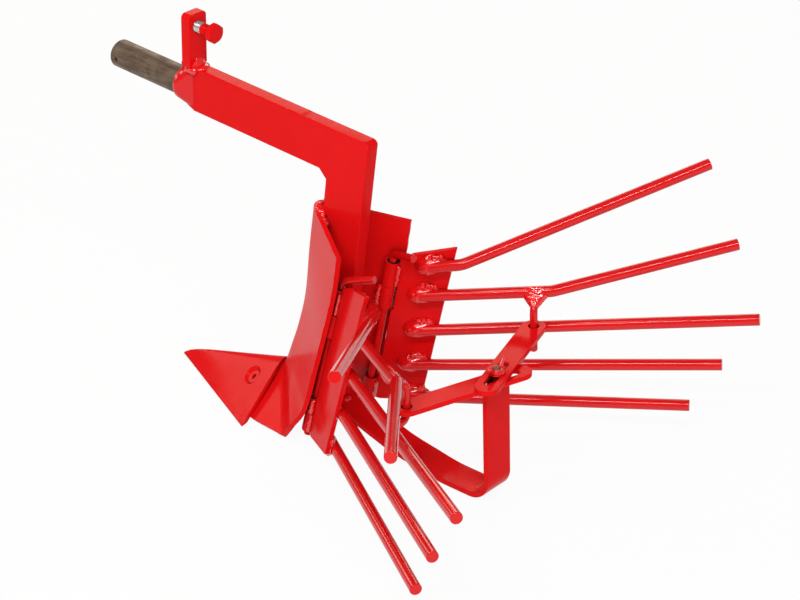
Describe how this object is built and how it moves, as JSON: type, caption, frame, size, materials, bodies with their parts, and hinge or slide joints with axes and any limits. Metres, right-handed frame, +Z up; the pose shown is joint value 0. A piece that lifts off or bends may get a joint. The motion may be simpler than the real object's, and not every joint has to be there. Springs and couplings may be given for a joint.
{
  "type": "walk-behind ridger",
  "caption": "Walk-behind soil ridger: share and folded mouldboards on a flat-bar beam, hinged wings of digging rods set by slotted straps on a bow skid.",
  "frame": {"origin": "on the ground under the middle of the bounding box, on the centre plane", "axes": "+Z up; +Y to the rear, along the direction the implement is pulled away from, so the hitch bar and share point to -Y; +X to the implement's own left"},
  "size_m": [0.5568, 0.6704, 0.4212],
  "materials": {
    "red_paint": "glossy red enamel over steel",
    "bare_steel": "bare steel, slightly browned, satin",
    "zinc": "bright zinc plating, satin"
  },
  "bodies": {
    "frame": {"hitch_bar": "bare_steel", "hitch_weld": "red_paint", "beam_arm": "red_paint", "beam_post": "red_paint", "adjuster_lug": "red_paint", "mouldboard_left": "red_paint", "mouldboard_right": "red_paint", "share": "red_paint", "share_bolts": "red_paint", "share_nuts": "zinc", "knuckle_left": "red_paint", "knuckle_right": "red_paint", "skid": "red_paint", "clamp_stud": "bare_steel"},
    "adjuster": {"adjuster_bolt": "red_paint"},
    "washer": {"clamp_washer": "red_paint"},
    "nut": {"wing_nut": "red_paint"},
    "wing_left": {"wing_plate_left": "red_paint", "wing_knuckles_left": "red_paint", "rod_left_1": "red_paint", "rod_left_2": "red_paint", "rod_left_3": "red_paint", "rod_left_4": "red_paint", "rod_left_5": "red_paint", "strap_pin_left": "red_paint"},
    "link_left": {"strap_left": "red_paint"},
    "pin_left": {"hinge_pin_left": "red_paint"},
    "wing_right": {"wing_plate_right": "red_paint", "wing_knuckles_right": "red_paint", "rod_right_1": "red_paint", "rod_right_2": "red_paint", "rod_right_3": "red_paint", "rod_right_4": "red_paint", "rod_right_5": "red_paint", "strap_pin_right": "red_paint"},
    "link_right": {"strap_right": "red_paint"},
    "pin_right": {"hinge_pin_right": "red_paint"}
  },
  "joints": [
    {"name": "adjuster_screw", "type": "slide", "parent": "frame", "child": "adjuster", "axis": [0, -0.9974, 0.0714], "range_m": [-0.01, 0.0195]},
    {"name": "wing_left_swing", "type": "hinge", "parent": "frame", "child": "wing_left", "pos_m": [0.0379, 0.01623, 0.19625], "axis": [0.0385, -0.2688, -0.9624], "range_deg": [-6, 6]},
    {"name": "wing_right_swing", "type": "hinge", "parent": "frame", "child": "wing_right", "pos_m": [-0.0379, 0.01623, 0.19625], "axis": [0.0385, 0.2688, 0.9624], "range_deg": [-6, 6]},
    {"name": "strap_left_shift", "type": "slide", "parent": "frame", "child": "link_left", "axis": [0.9397, -0.342, 0], "range_m": [-0.0166, 0.0166]},
    {"name": "strap_right_shift", "type": "slide", "parent": "frame", "child": "link_right", "axis": [-0.9397, -0.342, 0], "range_m": [-0.0166, 0.0166]},
    {"name": "pin_left_pull", "type": "slide", "parent": "frame", "child": "pin_left", "axis": [-0.0385, 0.2688, 0.9624], "range_m": [0, 0.195]},
    {"name": "pin_right_pull", "type": "slide", "parent": "frame", "child": "pin_right", "axis": [0.0385, 0.2688, 0.9624], "range_m": [0, 0.195]},
    {"name": "washer_lift", "type": "slide", "parent": "frame", "child": "washer", "axis": [0, 0, 1], "range_m": [0, 0.0026]},
    {"name": "nut_turn", "type": "hinge", "parent": "washer", "child": "nut", "pos_m": [0, 0.18433, 0.14678], "axis": [0, 0, 1], "range_deg": [0, 720]}
  ],
  "couplings": [
    {"joint": "strap_left_shift", "follows": "wing_left_swing", "m_per_rad": 0.15675},
    {"joint": "strap_right_shift", "follows": "wing_right_swing", "m_per_rad": 0.15675},
    {"joint": "washer_lift", "follows": "nut_turn", "m_per_rad": 0.00019894}
  ]
}
